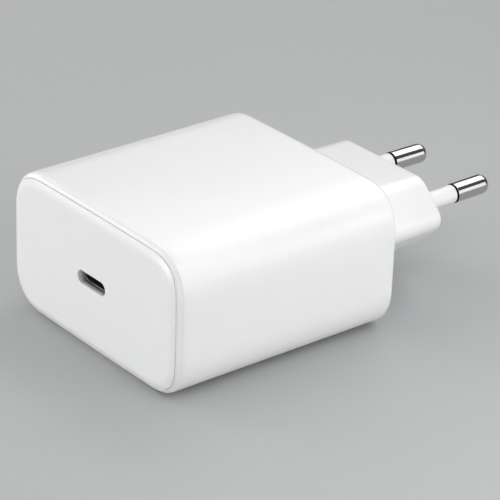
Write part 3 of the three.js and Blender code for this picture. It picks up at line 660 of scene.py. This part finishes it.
def material(
    name, base, roughness, metallic=0.0, mottle=0.01, rough_spread=0.04, bump=0.05,
    stretch=(1, 1, 1), sockets=None, painted_shade_below=None,
):
    """A Principled material with slight mottling of its colour and roughness, and fine bump.

    sockets are further values for the shader. Below the given Y the colour is almost black:
    painted shade for the dark ring where the bare metal leaves its sleeve.
    """
    m = bpy.data.materials.new(name)
    m.use_nodes = True
    tree = m.node_tree
    tree.nodes.clear()
    out = tree.nodes.new("ShaderNodeOutputMaterial")
    shader = tree.nodes.new("ShaderNodeBsdfPrincipled")
    tree.links.new(shader.outputs["BSDF"], out.inputs["Surface"])
    shader.inputs["Metallic"].default_value = metallic
    for key, value in (sockets or {}).items():
        shader.inputs[key].default_value = value
    place = tree.nodes.new("ShaderNodeTexCoord")

    def noise(scale, detail):
        mapping = tree.nodes.new("ShaderNodeMapping")
        mapping.inputs["Scale"].default_value = stretch
        tree.links.new(place.outputs["Object"], mapping.inputs["Vector"])
        n = tree.nodes.new("ShaderNodeTexNoise")
        n.inputs["Scale"].default_value = scale
        n.inputs["Detail"].default_value = detail
        tree.links.new(mapping.outputs["Vector"], n.inputs["Vector"])
        return n.outputs["Fac"]

    def ramp(value, low, high, from_low=0.35, from_high=0.65):
        r = tree.nodes.new("ShaderNodeMapRange")
        r.inputs["From Min"].default_value = from_low
        r.inputs["From Max"].default_value = from_high
        r.inputs["To Min"].default_value = low
        r.inputs["To Max"].default_value = high
        tree.links.new(value, r.inputs["Value"])
        return r.outputs["Result"]

    mix = tree.nodes.new("ShaderNodeMix")
    mix.data_type = "RGBA"
    mix.inputs["A"].default_value = (*[c * (1 - mottle) for c in base], 1)
    mix.inputs["B"].default_value = (*[min(c * (1 + mottle), 1) for c in base], 1)
    tree.links.new(ramp(noise(MOTTLE_SCALE, 3), 0, 1), mix.inputs["Factor"])
    colour = mix.outputs["Result"]
    # painted shade: below the given Y the colour goes almost black
    if painted_shade_below is not None:
        parts = tree.nodes.new("ShaderNodeSeparateXYZ")
        tree.links.new(place.outputs["Object"], parts.inputs["Vector"])
        edge, blur = painted_shade_below * MM, 0.03 * MM
        shade = ramp(parts.outputs["Y"], 0.02, 1, edge - blur, edge + blur)
        darken = tree.nodes.new("ShaderNodeVectorMath")
        darken.operation = "SCALE"
        tree.links.new(colour, darken.inputs[0])
        tree.links.new(shade, darken.inputs["Scale"])
        colour = darken.outputs["Vector"]
    tree.links.new(colour, shader.inputs["Base Color"])
    smudges = noise(SMUDGE_SCALE, 4)
    rough = ramp(smudges, roughness - rough_spread, roughness + rough_spread)
    tree.links.new(rough, shader.inputs["Roughness"])
    grain = tree.nodes.new("ShaderNodeBump")
    grain.inputs["Strength"].default_value = bump
    grain.inputs["Distance"].default_value = GRAIN_DEPTH
    tree.links.new(noise(GRAIN_SCALE, 2), grain.inputs["Height"])
    tree.links.new(grain.outputs["Normal"], shader.inputs["Normal"])
    return m


COATED = {"Coat Weight": 0.25, "Coat Roughness": 0.12}
white = material("white_gloss", (0.86, 0.862, 0.868), 0.32, mottle=0.006, sockets=COATED)
sleeve_white = material("sleeve_white", (0.85, 0.85, 0.85), 0.34, mottle=0.006)
nickel = material(
    "polished_nickel", (0.54, 0.54, 0.535), 0.09, 1.0,
    mottle=0.03, rough_spread=0.03, stretch=(8, 1, 8), bump=0.04,
    # painted shade: the metal at the sleeve's end is coloured almost black to give the dark ring
    # there
    painted_shade_below=BOSS_Y + BARE_FROM + 0.09,
)
steel = material("dark_steel", (0.34, 0.34, 0.345), 0.35, 1.0, mottle=0.05)
black = material("black_resin", (0.012, 0.012, 0.013), 0.45, mottle=0.1)
gold = material("gold_plate", (0.9, 0.62, 0.25), 0.25, 1.0, mottle=0.03)


def assign(piece, mat):
    piece.data.materials.clear()
    piece.data.materials.append(mat)


for piece in (housing, cover, boss):
    assign(piece, white)
for piece in sleeves:
    assign(piece, sleeve_white)
for piece in pins:
    assign(piece, nickel)
assign(receptacle, steel)
assign(tongue, black)
assign(contacts, gold)

# the inner pieces keep their CAD shapes, with a material for each slot
METALS = ("brass", "aluminium", "brushed_steel", "chrome")
inner_looks = {}
for entry in frame["record"]["materials"]:
    metal = entry["class"] in METALS
    inner_looks[entry["slot"]] = material(
        "inner_" + entry["slot"],
        entry["base_color"][:3],
        0.35 if metal else 0.5,
        1.0 if metal else 0.0,
        mottle=0.05,
        bump=0.2,
    )
for entry in frame["record"]["subparts"]:
    node = nodes[entry["node"]]
    if not node.material_slots:
        node.data.materials.append(None)
    for place in node.material_slots:
        place.link = "OBJECT"
        place.material = inner_looks[entry["material_slot"]]

# ---------- floor and light, in metres ----------

FLOOR_REACH = 3.0
AIM = Vector((0, 0, 0.0146))
WORLD_STRENGTH = 0.10

# name, azimuth and elevation in degrees, distance, width, watts
SOFTBOXES = (
    ("low_front", -15, 10, 0.8, 0.4, 3.05),
    ("low_front_left", -45, 14, 0.8, 0.35, 0.55),
    ("high_front_left", -45, 50, 0.8, 0.4, 0.52),
    ("front_left", -60, 30, 0.8, 0.4, 1.00),
    ("left", -90, 20, 0.8, 0.5, 1.50),
    ("back_left", 225, 42, 0.8, 0.4, 1.00),
    ("high_back", 188, 50, 0.8, 0.5, 1.60),
    ("low_back_right", 131, 13, 0.8, 0.36, 0.60),
    ("low_right", 105, 12, 0.8, 0.3, 0.80),
    ("lowest_right", 75, 6, 0.8, 0.2, 1.20),
    ("high_right", 50, 60, 0.8, 0.4, 0.47),
    ("near_right", 90, 40, 0.3, 0.12, 0.10),
    ("nearest_right", 98, 45, 0.15, 0.08, 0.045),
    ("near_back_right", 130, 63, 0.2, 0.1, 0.03),
)


def floor():
    mesh = bpy.data.meshes.new("floor")
    s = FLOOR_REACH
    mesh.from_pydata([(-s, -s, 0), (s, -s, 0), (s, s, 0), (-s, s, 0)], [], [(0, 1, 2, 3)])
    obj = bpy.data.objects.new("floor", mesh)
    bpy.context.scene.collection.objects.link(obj)
    mesh.materials.append(
        material("floor_grey", (0.465, 0.47, 0.475), 0.7, mottle=0.003, bump=0.0)
    )


def softbox(name, azimuth, elevation, distance, width, power):
    data = bpy.data.lights.new(name, "AREA")
    data.shape = "RECTANGLE"
    data.size, data.size_y = width, width
    data.energy = power
    obj = bpy.data.objects.new(name, data)
    bpy.context.scene.collection.objects.link(obj)
    obj.location = AIM + direction(azimuth, elevation) * distance
    obj.rotation_mode = "QUATERNION"
    obj.rotation_quaternion = (obj.location - AIM).to_track_quat("Z", "Y")


floor()
for settings in SOFTBOXES:
    softbox(*settings)

world = bpy.data.worlds.new("studio")
bpy.context.scene.world = world
world.use_nodes = True
background = world.node_tree.nodes["Background"]
background.inputs["Color"].default_value = (1.0, 1.0, 1.0, 1)
background.inputs["Strength"].default_value = WORLD_STRENGTH

bpy.context.scene.view_settings.view_transform = "Standard"
